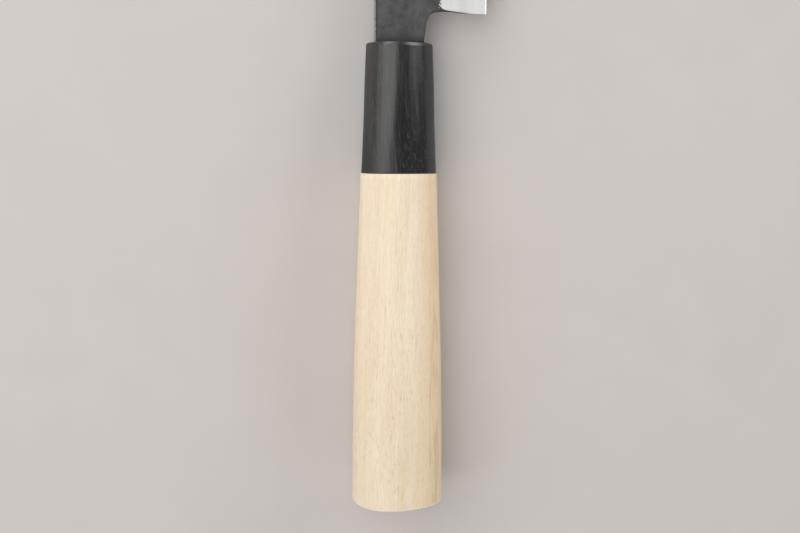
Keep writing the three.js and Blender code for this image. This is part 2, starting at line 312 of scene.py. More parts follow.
def horn_material():
    """Buffed black horn: near-black, clouded grey towards the spine with a painted highlight in it, a painted highlight
    patch on the edge side of the crown, long fibres and a few pale slanting flecks.
    """
    n = Nodes("black_horn")
    p = n.coords()
    wander = n.noise(n.scaled(p, (0.05, 0.12, 0.12)), 1.0, 2.0)
    sway = n.math("MULTIPLY", n.math("SUBTRACT", wander, 0.5), 1.6)
    u, v, w = n.split(p)
    comb = n.add("ShaderNodeCombineXYZ")
    n.put(u, comb.inputs[0])
    n.put(n.math("ADD", n.math("ADD", v, sway), n.math("MULTIPLY", u, -0.05)), comb.inputs[1])
    n.put(w, comb.inputs[2])
    g = comb.outputs[0]
    broad = n.noise(n.scaled(g, (0.03, 0.42, 0.42)), 1.0, 3.0)
    fibre = n.noise(n.scaled(g, (0.06, 2.0, 2.0)), 1.0, 4.0, 0.62)
    fine = n.noise(n.scaled(g, (0.18, 5.0, 5.0)), 1.0, 3.0, 0.6)
    col = n.mix(n.step(broad, 0.36, 0.64), srgb(8, 8, 9), srgb(19, 19, 20))
    # clouded grey towards the spine, partly the horn's own cloud and partly a painted highlight that widens the
    # reflected band; its border runs aslant, nearer the spine at the back
    cv = n.math("ADD", v, n.math("MULTIPLY", n.math("SUBTRACT", u, 118.0), 0.17))
    cloud = n.math("MULTIPLY", n.step(cv, -2.6, 0.8), n.step(v, 8.0, 5.4))
    cloud = n.math("MULTIPLY", cloud, n.remap(broad, 0.3, 0.7, 0.55, 1.0))
    col = n.mix(n.math("MULTIPLY", cloud, 0.76), col, srgb(47, 47, 46))
    # painted highlight: a fainter bluish patch on the edge side of the crown, lifting the reflected band there, fading
    # out towards the back
    painted_highlight_patch = n.math("MULTIPLY", n.math("MULTIPLY", n.step(v, -2.3, -3.4), n.step(v, -6.4, -5.7)), n.step(u, 91.0, 116.0))
    col = n.mix(n.math("MULTIPLY", painted_highlight_patch, 0.40), col, srgb(42, 42, 46))
    flank = n.math("MULTIPLY", n.step(v, -6.7, -5.5), n.step(v, 9.0, 6.4))
    col = n.mix(n.math("MULTIPLY", n.step(fibre, 0.48, 0.70), n.remap(flank, 0.0, 1.0, 0.15, 0.65)), col, srgb(60, 59, 58))
    col = n.mix(n.math("MULTIPLY", n.step(fibre, 0.47, 0.32), 0.65), col, srgb(5, 5, 6))
    col = n.mix(n.math("MULTIPLY", n.step(fine, 0.52, 0.72), n.remap(flank, 0.0, 1.0, 0.12, 0.52)), col, srgb(72, 71, 70))
    # bluish black low on the edge side, scattered with pale slanting flecks
    low = n.math("MULTIPLY", n.step(v, 0.8, -1.6), n.step(u, 107.0, 96.0))
    col = n.mix(n.math("MULTIPLY", low, 0.75), col, srgb(12, 13, 18))
    # one paler bundle of fibres halfway along the edge side of the crown
    bundle = n.math("MULTIPLY", n.math("MULTIPLY", n.step(v, -3.4, -4.3), n.step(v, -5.7, -5.0)), n.math("MULTIPLY", n.step(u, 94.5, 99.0), n.step(u, 109.5, 104.5)))
    bundle = n.math("MULTIPLY", n.math("MULTIPLY", bundle, n.step(w, 0.0, 2.0)), n.remap(fibre, 0.35, 0.65, 0.35, 1.0))
    col = n.mix(n.math("MULTIPLY", bundle, 0.65), col, srgb(52, 52, 52))
    slant = n.add("ShaderNodeCombineXYZ")
    n.put(u, slant.inputs[0])
    n.put(n.math("ADD", v, n.math("MULTIPLY", u, -0.24)), slant.inputs[1])
    n.put(w, slant.inputs[2])
    dash = n.noise(n.scaled(slant.outputs[0], (0.22, 4.2, 4.2), (5, 2, 0)), 1.0, 3.0, 0.6)
    fleck = n.math("MULTIPLY", n.step(dash, 0.54, 0.70), n.remap(low, 0.0, 1.0, 0.12, 0.62))
    col = n.mix(fleck, col, srgb(86, 87, 89))
    rough = n.remap(n.math("ADD", n.math("MULTIPLY", fibre, 0.55), n.math("MULTIPLY", fine, 0.45)), 0.3, 0.7, 0.13, 0.36)
    back = n.math("MULTIPLY", n.step(v, -1.5, 1.0), n.step(u, 106.0, 89.0))
    rough = n.math("ADD", rough, n.math("SUBTRACT", n.math("MULTIPLY", back, 0.16), n.math("MULTIPLY", low, 0.06)))
    # the narrow sides are left duller than the crown
    dull = n.math("ADD", n.step(v, 6.6, 8.4), n.step(v, -6.6, -8.4))
    rough = n.math("ADD", rough, n.math("MULTIPLY", dull, 0.26))
    h = n.math("ADD", n.math("MULTIPLY", fibre, 0.6), n.math("MULTIPLY", fine, 0.4))
    bump = n.bump(h, 0.32, 0.00007)
    return n.done(n.shader(Base_Color=col, Roughness=rough, Normal=bump, IOR=1.5, Specular_IOR_Level=0.78))


def blade_material(all_scale=False):
    """Forge-black scale above the grind line; below it ground iron, then the core steel and its polished final bevel,
    painted near-white as a glint.
    """
    n = Nodes("forge_scale" if all_scale else "forged_blade")
    p = n.coords()
    u, v, w = n.split(p)
    # --- scale
    cloud = n.noise(n.scaled(p, (0.22, 0.28, 0.28)), 1.0, 4.0, 0.58)
    mott = n.noise(n.scaled(p, (0.8, 0.8, 0.8)), 1.0, 5.0, 0.60)
    speck = n.noise(n.scaled(p, (4.5, 4.5, 4.5), (7, 3, 0)), 1.0, 2.0, 0.5)
    pit = n.noise(n.scaled(p, (2.2, 2.2, 2.2), (1, 9, 4)), 1.0, 3.0, 0.6)
    col = n.mix(n.step(cloud, 0.34, 0.68), srgb(58, 58, 59), srgb(80, 80, 80))
    col = n.mix(n.math("MULTIPLY", n.step(mott, 0.42, 0.70), 0.45), col, srgb(88, 88, 88))
    col = n.mix(n.math("MULTIPLY", n.step(pit, 0.60, 0.74), 0.40), col, srgb(54, 54, 55))
    col = n.mix(n.math("MULTIPLY", n.step(speck, 0.68, 0.80), 0.25), col, srgb(122, 121, 119))
    rust = n.noise(n.scaled(p, (0.22, 0.3, 0.3), (20, 0, 0)), 1.0, 4.0)
    col = n.mix(n.math("MULTIPLY", n.step(rust, 0.62, 0.80), 0.16), col, srgb(92, 82, 73))
    # painted shade: darker in the corner by the ferrule, darkest in a line at its lip, where the ferrule shades the
    # neck
    corner = n.step(u, 124.4, 121.4)
    col = n.mix(n.math("MULTIPLY", corner, 0.85), col, srgb(33, 33, 34))
    col = n.mix(n.math("MULTIPLY", n.step(u, 122.3, 121.7), 0.80), col, srgb(14, 14, 15))
    # lighter along the spine's corner, partly worn scale and partly a painted highlight, with a painted shade line
    # along the crease beside it
    if not all_scale:
        worn = n.attribute("spine_d")
        worn_n = n.math("ADD", worn, n.math("MULTIPLY", n.math("SUBTRACT", n.noise(n.scaled(p, (1.2, 1.2, 1.2)), 1.0, 4.0, 0.65), 0.5), 0.75))
        dark = n.math("MULTIPLY", n.step(worn_n, 0.45, 0.66), n.step(worn_n, 1.10, 0.80))
        col = n.mix(n.math("MULTIPLY", dark, 0.80), col, srgb(36, 37, 37))
        wear_and_painted_sheen = n.step(worn_n, 0.62, 0.34)
        col = n.mix(n.math("MULTIPLY", wear_and_painted_sheen, 0.75), col, srgb(148, 151, 148))
    else:
        col = n.mix(0.25, col, srgb(110, 113, 110))
    s_rough = n.remap(mott, 0.3, 0.7, 0.46, 0.60)
    s_h = n.math("SUBTRACT", n.math("ADD", n.math("MULTIPLY", mott, 0.8), n.math("MULTIPLY", speck, 0.25)), n.math("MULTIPLY", n.step(pit, 0.58, 0.74), 0.5))
    s_bump = n.bump(s_h, 0.40, 0.00008)
    scale = n.shader(Base_Color=col, Roughness=s_rough, Normal=s_bump, Metallic=0.0, Specular_IOR_Level=0.35)
    if all_scale:
        return n.done(scale)

    # --- ground bevel: scratches run away from the edge
    scr = n.noise(n.scaled(p, (7.0, 0.16, 0.2)), 1.0, 4.0, 0.65)
    scr2 = n.noise(n.scaled(p, (18.0, 0.5, 0.5), (3, 0, 0)), 1.0, 2.0, 0.5)
    haze = n.noise(n.scaled(p, (0.16, 0.3, 0.3), (0, 5, 0)), 1.0, 4.0, 0.6)
    clad = n.mix(n.step(haze, 0.30, 0.72), (0.70, 0.70, 0.70), (0.78, 0.78, 0.775))
    clad = n.mix(n.math("MULTIPLY", n.step(scr, 0.52, 0.72), 0.40), clad, (0.52, 0.52, 0.52))
    core = n.mix(n.math("MULTIPLY", n.step(scr, 0.52, 0.72), 0.40), (0.77, 0.77, 0.765), (0.55, 0.55, 0.55))
    lam = n.attribute("lam")
    lam_w = n.math("ADD", lam, n.math("MULTIPLY", n.math("SUBTRACT", n.noise(n.scaled(p, (0.16, 0.05, 0.05), (9, 0, 0)), 1.0, 4.0, 0.6), 0.5), 2.2))
    is_clad = n.step(lam_w, -0.20, 0.25)
    line = n.math("MULTIPLY", n.step(lam_w, -0.32, -0.02), n.step(lam_w, 0.42, 0.05))
    steel = n.mix(is_clad, core, clad)
    steel = n.mix(n.math("MULTIPLY", line, 0.07), steel, (0.48, 0.48, 0.48))
    # painted glint: the final bevel is near-white steel with some diffuse, bright under any light
    final = n.step(n.attribute("edge_s"), 1.04, 0.96)
    steel = n.mix(final, steel, (0.98, 0.98, 0.975))
    g_rough = n.fmix(is_clad, n.remap(scr, 0.3, 0.7, 0.58, 0.64), n.remap(scr, 0.3, 0.7, 0.58, 0.66))
    g_rough = n.fmix(final, g_rough, n.remap(scr, 0.3, 0.7, 0.18, 0.26))
    g_h = n.math("ADD", n.math("MULTIPLY", scr, 0.7), n.math("MULTIPLY", scr2, 0.3))
    g_h = n.math("MULTIPLY", g_h, n.fmix(final, 1.0, 0.15))
    g_bump = n.bump(g_h, 0.10, 0.00005)
    ground = n.shader(Base_Color=steel, Roughness=g_rough, Normal=g_bump, Metallic=n.fmix(final, 1.0, 0.80))

    # --- ragged boundary of the scale along the grind line, with a few bright nicks beside it at the heel
    bev = n.attribute("bev")
    rag = n.math("MULTIPLY", n.math("SUBTRACT", n.noise(n.scaled(p, (0.55, 0.55, 0.55)), 1.0, 5.0, 0.66), 0.5), 1.3)
    rag = n.math("MULTIPLY", rag, n.remap(u, 131.0, 136.0, 0.3, 1.0))
    crumbs = n.math("MULTIPLY", n.math("SUBTRACT", n.noise(n.scaled(p, (3.4, 3.4, 3.4), (4, 4, 0)), 1.0, 3.0, 0.6), 0.5), 0.9)
    edge = n.math("ADD", n.math("ADD", bev, rag), crumbs)
    nick_noise = n.math("MULTIPLY", n.math("SUBTRACT", n.noise(n.scaled(p, (5.0, 5.0, 5.0), (1, 2, 6)), 1.0, 2.0, 0.6), 0.5), 0.45)
    for nu_, nv_, r in ((131.3, -10.28, 0.16), (130.95, -10.5, 0.14), (130.5, -10.12, 0.10), (132.0, -10.42, 0.12), (130.62, -10.78, 0.10)):
        du = n.math("SUBTRACT", u, nu_)
        dv = n.math("SUBTRACT", v, nv_)
        d = n.math("SQRT", n.math("ADD", n.math("MULTIPLY", du, du), n.math("MULTIPLY", dv, dv)))
        d = n.math("SUBTRACT", n.math("ADD", d, nick_noise), r)
        edge = n.math("MINIMUM", edge, d)
    black = n.step(edge, -0.06, 0.08)
    # the choil's narrow side keeps its scale, down to where it is dressed at the heel
    geo = n.add("ShaderNodeNewGeometry")
    along = n.add("ShaderNodeVectorMath", operation="DOT_PRODUCT")
    n.put(geo.outputs["Normal"], along.inputs[0])
    along.inputs[1].default_value = (math.cos(PITCH), 0, -math.sin(PITCH))
    side = n.math("MULTIPLY", n.step(along.outputs["Value"], -0.62, -0.86), n.step(v, -20.0, -15.5))
    black = n.math("MAXIMUM", black, n.math("MULTIPLY", side, n.step(u, 133.0, 131.5)))
    m = n.add("ShaderNodeMixShader")
    n.put(black, m.inputs[0])
    n.t.links.new(ground.outputs[0], m.inputs[1])
    n.t.links.new(scale.outputs[0], m.inputs[2])
    return n.done(m)


def resin_material():
    n = Nodes("bedding_resin")
    p = n.coords()
    a = n.noise(n.scaled(p, (0.6, 0.6, 0.6)), 1.0, 4.0)
    col = n.mix(n.step(a, 0.35, 0.7), srgb(38, 29, 22), srgb(62, 46, 33))
    return n.done(n.shader(Base_Color=col, Roughness=n.remap(a, 0.3, 0.7, 0.5, 0.75), Normal=n.bump(a, 0.4, 0.0002)))


def floor_material():
    n = Nodes("floor_card")
    p = n.coords()
    a = n.noise(n.scaled(p, (0.05, 0.05, 0.05)), 1.0, 2.0)
    col = n.mix(n.step(a, 0.3, 0.7), srgb(205, 199, 196), srgb(207, 201, 198))
    return n.done(n.shader(Base_Color=col, Roughness=0.85, Specular_IOR_Level=0.1))


# ------------------------------------------------------------------ mesh helpers
def new_object(name, verts, faces, materials):
    me = bpy.data.meshes.new(name)
    me.from_pydata([KNIFE @ (Vector(p) * MM) for p in verts], [], faces)
    me.update()
    for m in materials:
        me.materials.append(m)
    me.polygons.foreach_set("use_smooth", [True] * len(me.polygons))
    ob = bpy.data.objects.new(name, me)
    bpy.context.collection.objects.link(ob)
    return ob


def sharpen(ob, degrees):
    ob.data.set_sharp_from_angle(angle=math.radians(degrees))


def section_point(t, lean=1.0):
    """Unit 'chestnut' section: an oval whose right-hand face is fuller towards the spine and falls off flatter towards the edge."""
    c, s = math.cos(t), math.sin(t)
    w = s
    if s > 0:
        w *= 1.024 + 0.193 * lean * c - 0.013 * c**2 - 0.115 * c**3 - 0.081 * c**4
    return c * SNUG, w * SNUG


AROUND = 176


def ring(u, a, b):
    out = []
    for k in range(AROUND):
        c, w = section_point(2 * math.pi * k / AROUND)
        out.append((u, a * c, b * w))
    return out


def slot_ring(u, a, b, power=12):
    """A rounded rectangle with as many points as the oval rings."""
    out = []
    for k in range(AROUND):
        t = 2 * math.pi * k / AROUND
        c, s = math.cos(t), math.sin(t)
        r = (abs(c) ** power + abs(s) ** power) ** (-1 / power)
        out.append((u, a * c * r, b * s * r))
    return out


def loft(name, rings, materials, closed):
    """Skins the rings in order. closed: the last ring joins the first (a tube wall); otherwise both ends are capped."""
    n = len(rings[0])
    verts = [p for r in rings for p in r]
    faces = []
    count = len(rings)
    for r in range(count if closed else count - 1):
        a0, b0 = r * n, ((r + 1) % count) * n
        for k in range(n):
            j = (k + 1) % n
            faces.append((a0 + k, a0 + j, b0 + j, b0 + k))
    if not closed:
        for r, flip in ((0, True), (count - 1, False)):
            c = len(verts)
            verts.append(tuple(sum(p[i] for p in rings[r]) / n for i in range(3)))
            for k in range(n):
                j = (k + 1) % n
                a, b = r * n + k, r * n + j
                faces.append((c, b, a) if flip else (c, a, b))
    return new_object(name, verts, faces, materials)


# ------------------------------------------------------------------ camera
CAM_U, CAM_V, CAM_W = 93.45, -0.502, 256.8
CAM_TILT = math.radians(6.63)
CAM_ROLL = math.radians(0.333)
FOCAL_PX = 975.4

cam_data = bpy.data.cameras.new("camera")
cam = bpy.data.objects.new("camera", cam_data)
bpy.context.collection.objects.link(cam)
right = Vector((0, -1, 0))
up = Vector((math.cos(CAM_TILT), 0, -math.sin(CAM_TILT)))
back = right.cross(up)
basis = Matrix((right, up, back)).transposed().to_4x4()
cam.matrix_world = KNIFE @ Matrix.Translation(Vector((CAM_U, CAM_V, CAM_W)) * MM) @ basis @ Matrix.Rotation(CAM_ROLL, 4, "Z")
cam_data.sensor_width = 36.0
cam_data.lens = FOCAL_PX * 36.0 / 800.0
cam_data.clip_start = 0.01
cam_data.clip_end = 20
bpy.context.scene.camera = cam

# ------------------------------------------------------------------ floor and light
me = bpy.data.meshes.new("floor")
S = 3.0
me.from_pydata([(-S, -S, 0), (S, -S, 0), (S, S, 0), (-S, S, 0)], [], [(0, 1, 2, 3)])
floor = bpy.data.objects.new("floor", me)
floor.location.z = -0.00002
me.materials.append(floor_material())
bpy.context.collection.objects.link(floor)


def panel(name, direction, length, width, radiance, colour, distance=0.9, grid=None, level=False):
    """Soft box facing the knife from the given direction; length runs along the knife as far as it can, width across it.
    grid: degrees of beam let through by a honeycomb in front of it, which keeps its light off the floor beside it.
    level: length runs level instead."""
    out = Vector(direction).normalized()
    along = Vector((0, 0, 1)).cross(out) if level else Vector((1, 0, 0))
    along = (along - out * along.dot(out)).normalized()
    across = out.cross(along)
    data = bpy.data.lights.new(name, "AREA")
    data.shape = "RECTANGLE"
    data.size, data.size_y = length, width
    data.energy = radiance * math.pi * width * length
    if grid:
        data.spread = math.radians(grid)
        half = data.spread / 2
        data.energy *= 1 - half / math.tan(half)
    data.color = colour
    ob = bpy.data.objects.new(name, data)
    m = Matrix((along, across, out)).transposed().to_4x4()
    ob.matrix_world = Matrix.Translation(Vector((0.0, 0.005, 0.01)) + out * distance) @ m
    ob.visible_camera = False
    bpy.context.collection.objects.link(ob)
    return ob


def toward(side, ahead):
    """Direction by two angles from straight up, in degrees: side + over the spine, ahead + beyond the tip."""
    return (math.tan(math.radians(ahead)), math.tan(math.radians(side)), 1.0)


def low_toward(azimuth, elevation):
    """Direction near the horizon, in degrees: azimuth 0 beyond the tip, + towards the spine side."""
    a, e = math.radians(azimuth), math.radians(elevation)
    return (math.cos(e) * math.cos(a), math.cos(e) * math.sin(a), math.sin(e))


SOFT = (1.0, 0.99, 0.975)
panel("softbox_left", toward(21, 8), 1.5, 1.0, 1.40, SOFT)
panel("softbox_left_low", toward(64, 20), 1.3, 0.50, 0.82, SOFT)
panel("softbox_right", toward(-62, 46), 0.56, 0.46, 1.60, SOFT)
panel("fill_far_left", low_toward(18, 21), 0.84, 0.36, 2.9, SOFT, grid=100, level=True)
panel("fill_far_right", low_toward(-44, 15), 0.38, 0.44, 4.0, SOFT, grid=60)
panel("fill_near_right", low_toward(-128, 24), 0.50, 0.60, 1.10, SOFT, grid=120)
world = bpy.data.worlds.new("world")
world.use_nodes = True
world.node_tree.nodes["Background"].inputs["Color"].default_value = (1, 1, 1, 1)
world.node_tree.nodes["Background"].inputs["Strength"].default_value = 0.27
bpy.context.scene.world = world
bpy.context.scene.view_settings.view_transform = "Standard"
bpy.context.scene.view_settings.look = "None"

# ------------------------------------------------------------------ grip
wood = wood_material()


def grip_ring(u, inset=0.0):
    a = smooth_table(GRIP, u) - inset
    b = smooth_table(GRIP, u, 2) - inset
    out = []
    for k in range(AROUND):
        c, w = section_point(2 * math.pi * k / AROUND)
        # hand-shaved wood: shallow flats, always inwards of the nominal surface
        q = noise.noise(Vector((u * 0.022, c * 1.7, w * 1.7 + 3.0)))
        d = 0.05 * (1.0 + q) * smoothstep(0.0, 8.0, u) * smoothstep(0.0, 6.0, GRIP_LENGTH - u)
        out.append((u, (a - d) * c, (b - d) * w))
    return out


BUTT_EASE = 0.5
rings = []
for k in range(1, 12):  # butt face
    f = k / 12
    rings.append(ring(0.0, (GRIP[0][1] - BUTT_EASE - 0.1) * f, (GRIP[0][2] - BUTT_EASE - 0.1) * f))
for k in range(0, 7):  # eased butt corner
    t = math.radians(15 * k)
    d = BUTT_EASE * (1 - math.sin(t))
    rings.append(ring(BUTT_EASE * (1 - math.cos(t)), GRIP[0][1] - d, GRIP[0][2] - d))
u = 1.2
while u < GRIP_LENGTH - 0.6:
    rings.append(grip_ring(u))
    u += 1.2
rings.append(grip_ring(GRIP_LENGTH - 0.14))
rings.append(grip_ring(GRIP_LENGTH - 0.04, 0.04))
rings.append(grip_ring(GRIP_LENGTH, 0.14))
rings.append(ring(GRIP_LENGTH, 7.0, 5.6))
rings.append(ring(TENON_END - 0.8, 6.7, 5.3))
rings.append(ring(TENON_END, 6.0, 4.7))
rings.append(slot_ring(TENON_END, 5.3, 2.3))
rings.append(slot_ring(80.7, 4.1, 2.1))
rings.append(slot_ring(HOLE_END, 2.9, 1.9))
grip = loft("grip_wood", rings, [wood], closed=False)
sharpen(grip, 35)
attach(grip, "root")
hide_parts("grip")

# ------------------------------------------------------------------ ferrule
horn = horn_material()


def horn_lean(u):
    """The horn's crown leans a little more towards the spine at its back than at its lip."""
    return 0.85 + 0.52 * smoothstep(FERRULE_END - 4.0, GRIP_LENGTH, u)


def ferrule_ring(u, inset=0.0, chips=0.0):
    """One ring of the horn: faint hand-filed waves, a shallow flat on the edge side of the crown at the back, and small chips along the back edge."""
    a = smooth_table(FERRULE, u) - inset
    b = smooth_table(FERRULE, u, 2) - inset
    lean = horn_lean(u)
    out = []
    for k in range(AROUND):
        c, w = section_point(2 * math.pi * k / AROUND, lean)
        q = noise.noise(Vector((u * 0.07, c * 1.9 + 7.0, w * 1.9)))
        d = 0.018 * (1.0 + q) * smoothstep(0.0, 4.0, u - GRIP_LENGTH) * smoothstep(1.0, 4.0, FERRULE_END - u)
        e = chips * max(0.0, noise.noise(Vector((c * 9.0, w * 9.0, 2.5))))
        y, z = (a - d) * c, (b - d) * w
        z -= 0.34 * smoothstep(106.0, GRIP_LENGTH, u) * smoothstep(3.5, -1.5, y) * smoothstep(0.0, 3.0, z)
        out.append((u + e, y, z))
    return out


rings = []
back_u = GRIP_LENGTH + GLUE_GAP
rings.append(ferrule_ring(back_u, 0.06, 0.08))
rings.append(ferrule_ring(back_u + 0.06, 0.0, 0.11))
u = back_u + 0.8
while u < FERRULE_END - LIP_LENGTH - 0.4:
    rings.append(ferrule_ring(u))
    u += 0.8


def lip_profile(count=16):
    """Filed lip as (part of its length, depth in millimetres): an eased start, a flat slope, a small rounded end."""
    out, depth = [(0.0, 0.0)], 0.0
    for k in range(1, count + 1):
        x = k / count
        mid = x - 0.5 / count
        tilt = LIP_TILT * smoothstep(0.0, 0.35, mid) + (70.0 - LIP_TILT) * smoothstep(0.86, 1.0, mid)
        depth += math.tan(math.radians(tilt)) * LIP_LENGTH / count
        out.append((x, depth))
    return out


def lip_ring(x, depth):
    """The lip is filed widest on the crown and hardly at all at the spine."""
    out = []
    for k in range(AROUND):
        c, w = section_point(2 * math.pi * k / AROUND, horn_lean(FERRULE_END))
        size = 1.0 - 0.74 * smoothstep(0.5, 0.92, c) - 0.40 * smoothstep(0.55, 0.92, -c)
        at = FERRULE_END - LIP_LENGTH * size
        d = depth * size
        out.append((at + LIP_LENGTH * size * x, (table(FERRULE, at) - d) * c, (table(FERRULE, at, 2) - d) * w))
    return out


for x, depth in lip_profile():
    rings.append(lip_ring(x, depth))
rings.append(slot_ring(FERRULE_END, 5.32, 2.02))
rings.append(slot_ring(FERRULE_END - 0.12, 5.2, 1.9))
rings.append(slot_ring(SOCKET_END, 5.2, 1.9))
rings.append(ring(SOCKET_END, 6.78, 5.38))
rings.append(ring(back_u, 7.1, 5.7))
ferrule = loft("ferrule_horn", rings, [horn], closed=True)
sharpen(ferrule, 35)
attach(ferrule, "root")
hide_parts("ferrule")


# ------------------------------------------------------------------ blade
def bezier(p, t):
    q = 1 - t
    return tuple(q**3 * p[0][i] + 3 * q * q * t * p[1][i] + 3 * q * t * t * p[2][i] + t**3 * p[3][i] for i in (0, 1))


SPINE = ((HEEL_AT, SPINE_V), (190.7, 6.35), (246.7, 4.1), (TIP_AT, TIP_V))
EDGE = ((HEEL_AT, EDGE_V + 0.012), (192.7, -22.738), (248.7, -19.388), (TIP_AT, TIP_V))


def curve_table(p):
    pts = [bezier(p, k / 600) for k in range(601)]
    return pts


SPINE_PTS, EDGE_PTS = curve_table(SPINE), curve_table(EDGE)


def lookup(pts, u):
    if u <= pts[0][0]:
        return pts[0][1]
    lo, hi = 0, len(pts) - 1
    if u >= pts[hi][0]:
        return pts[hi][1]
    while hi - lo > 1:
        mid = (lo + hi) // 2
        if pts[mid][0] <= u:
            lo = mid
        else:
            hi = mid
    k = (u - pts[lo][0]) / max(1e-9, pts[hi][0] - pts[lo][0])
    return pts[lo][1] * (1 - k) + pts[hi][1] * k


@functools.lru_cache(maxsize=None)
def blade_facts(u):
    e = lookup(EDGE_PTS, u)
    sp = lookup(SPINE_PTS, u)
    half = smooth_table(SPINE_HALF, u, 1, 8.0)
    rise = max(0.6, sp - e)
    grind = min(BEVEL_HEIGHT, 0.46 * rise + 0.35)
    micro = min(0.42, 0.3 * grind)
    micro_w = 0.25 * min(1.0, grind / 4)
    core = CORE_SHARE * half
    # height at which the bevel cuts the core's face
    lam = micro + (grind - micro) * (core + 0.012 - micro_w) / max(1e-6, 0.8 * half - micro_w)
    return e, sp, half, grind, micro, micro_w, core, lam


def half_thickness(u, v):
    e, sp, half, grind, micro, micro_w, core, lam = blade_facts(u)
    s = v - e
    if s <= micro:
        return 0.02 + (micro_w - 0.02) * max(0.0, s / micro)
    if s <= grind:
        return micro_w + (0.8 * half - micro_w) * (s - micro) / (grind - micro)
    return 0.8 * half + 0.23 * half * min(1.0, (s - grind) / max(0.5, sp + 2 - e - grind))


def resample(points, step):
    out = [points[0]]
    for a, b in zip(points, points[1:]):
        d = math.dist(a, b)
        k = max(1, round(d / step))
        for i in range(1, k + 1):
            out.append((a[0] + (b[0] - a[0]) * i / k, a[1] + (b[1] - a[1]) * i / k))
    return out


def catmull(points, per=5):
    out = []
    for i in range(len(points) - 1):
        p0 = points[max(0, i - 1)]
        p1, p2 = points[i], points[i + 1]
        p3 = points[min(len(points) - 1, i + 2)]
        for k in range(per):
            t = k / per
            out.append(tuple(
                0.5 * (2 * p1[j] + (p2[j] - p0[j]) * t + (2 * p0[j] - 5 * p1[j] + 4 * p2[j] - p3[j]) * t * t + (3 * p1[j] - p0[j] - 3 * p2[j] + p3[j]) * t**3)
                for j in (0, 1)
            ))
    out.append(points[-1])
    return out


# lower outline of neck and heel, from the ferrule to the heel's corner
CHOIL = catmull([
    (SHOULDER_AT, -6.3), (123.7, -6.55), (125.4, -6.75), (126.6, -6.92), (127.6, -7.2), (128.4, -7.54), (129.0, -7.98), (129.38, -8.6),
    (129.57, -9.3), (129.69, -10.2), (129.71, -11.6), (129.65, -13.0), (129.37, -15.1), (129.21, -16.8), (129.13, -18.6), (HEEL_AT, EDGE_V + 0.012),
], 5)
CHOIL = resample(CHOIL, 0.3)
TANG = [
    (SHOULDER_AT, SPINE_V), (SHOULDER_AT, TANG_HALF_FRONT), (TANG_END + 1.2, TANG_HALF_END), (TANG_END, TANG_HALF_END * 0.55),
    (TANG_END, -TANG_HALF_END * 0.55), (TANG_END + 1.2, -TANG_HALF_END), (SHOULDER_AT, -TANG_HALF_FRONT), (SHOULDER_AT, -6.3),
]
TANG = resample(TANG, 1.2)


def walk(pts, step, start, end):
    """Points of a curve at even steps of u between start and end, closing up towards the tip."""
    out, u = [], start
    while u < end - 0.2:
        out.append((u, lookup(pts, u)))
        u += step * (0.35 + 0.65 * smoothstep(0, 10, TIP_AT - u))
    return out


SPINE_LINE = [(u, SPINE_V) for u in (SHOULDER_AT + 0.6 * k for k in range(1, 14)) if u < HEEL_AT - 0.2] + walk(SPINE_PTS, 0.7, HEEL_AT, TIP_AT)
EDGE_LINE = walk(EDGE_PTS, 0.7, HEEL_AT, TIP_AT)[1:]
LAM_LINE = []
for (u, _) in EDGE_LINE:
    f = blade_facts(u)
    LAM_LINE.append((u, f[0] + f[7]))


def polyline_distance(p, line):
    best = 1e9
    for a, b in zip(line, line[1:]):
        ax, ay, bx, by = a[0], a[1], b[0], b[1]
        if p[0] < min(ax, bx) - 1.5 or p[0] > max(ax, bx) + 1.5 or p[1] < min(ay, by) - 1.5 or p[1] > max(ay, by) + 1.5:
            continue
        dx, dy = bx - ax, by - ay
        t = max(0.0, min(1.0, ((p[0] - ax) * dx + (p[1] - ay) * dy) / max(1e-12, dx * dx + dy * dy)))
        d = math.hypot(p[0] - ax - t * dx, p[1] - ay - t * dy)
        best = min(best, d)
    return best


SPINE_FULL = [(SHOULDER_AT, SPINE_V)] + SPINE_LINE + [(TIP_AT, TIP_V)]


@functools.lru_cache(maxsize=None)
def spine_distance(p):
    u, v = p
    slope = (lookup(SPINE_PTS, u + 0.2) - lookup(SPINE_PTS, u - 0.2)) / 0.4
    return max(0.0, (lookup(SPINE_PTS, u) - v) / math.hypot(1.0, slope))


@functools.lru_cache(maxsize=None)
def choil_distance(p):
    return polyline_distance(p, CHOIL) if p[0] < 134 else 9.0


def ease(d, reach, depth):
    """How far an eased corner falls at distance d from the outline."""
    if d >= reach:
        return 0.0
    x = (reach - d) / reach
    return depth * (1 - math.sqrt(max(0.0, 1 - x * x)))


def inside(p, poly):
    x, y = p
    hit = False
    j = len(poly) - 1
    for i in range(len(poly)):
        xi, yi = poly[i]
        xj, yj = poly[j]
        if (yi > y) != (yj > y) and x < (xj - xi) * (y - yi) / (yj - yi) + xi:
            hit = not hit
        j = i
    return hit


def beside(line, d, keep):
    """The line moved sideways by d (+ to its left), one point for each of its own."""
    out = []
    for i, p in enumerate(line):
        a, b = line[max(0, i - 1)], line[min(len(line) - 1, i + 1)]
        l = math.dist(a, b)
        q = (max(SHOULDER_AT + 0.03, p[0] - (b[1] - a[1]) / l * d), p[1] + (b[0] - a[0]) / l * d)
        if keep(q) and (not out or math.dist(q, out[-1]) > 0.05):
            out.append(q)
    return out


def crease_from_heel(line):
    """An inner crease line that starts on the heel's outline."""
    v = line[0][1]
    for a, b in zip(CHOIL, CHOIL[1:]):
        if a[1] >= v > b[1]:
            k = (a[1] - v) / (a[1] - b[1])
            first = (a[0] + (b[0] - a[0]) * k, v)
            return [first] + [p for p in line if p[0] > first[0] + 0.15]
    return line


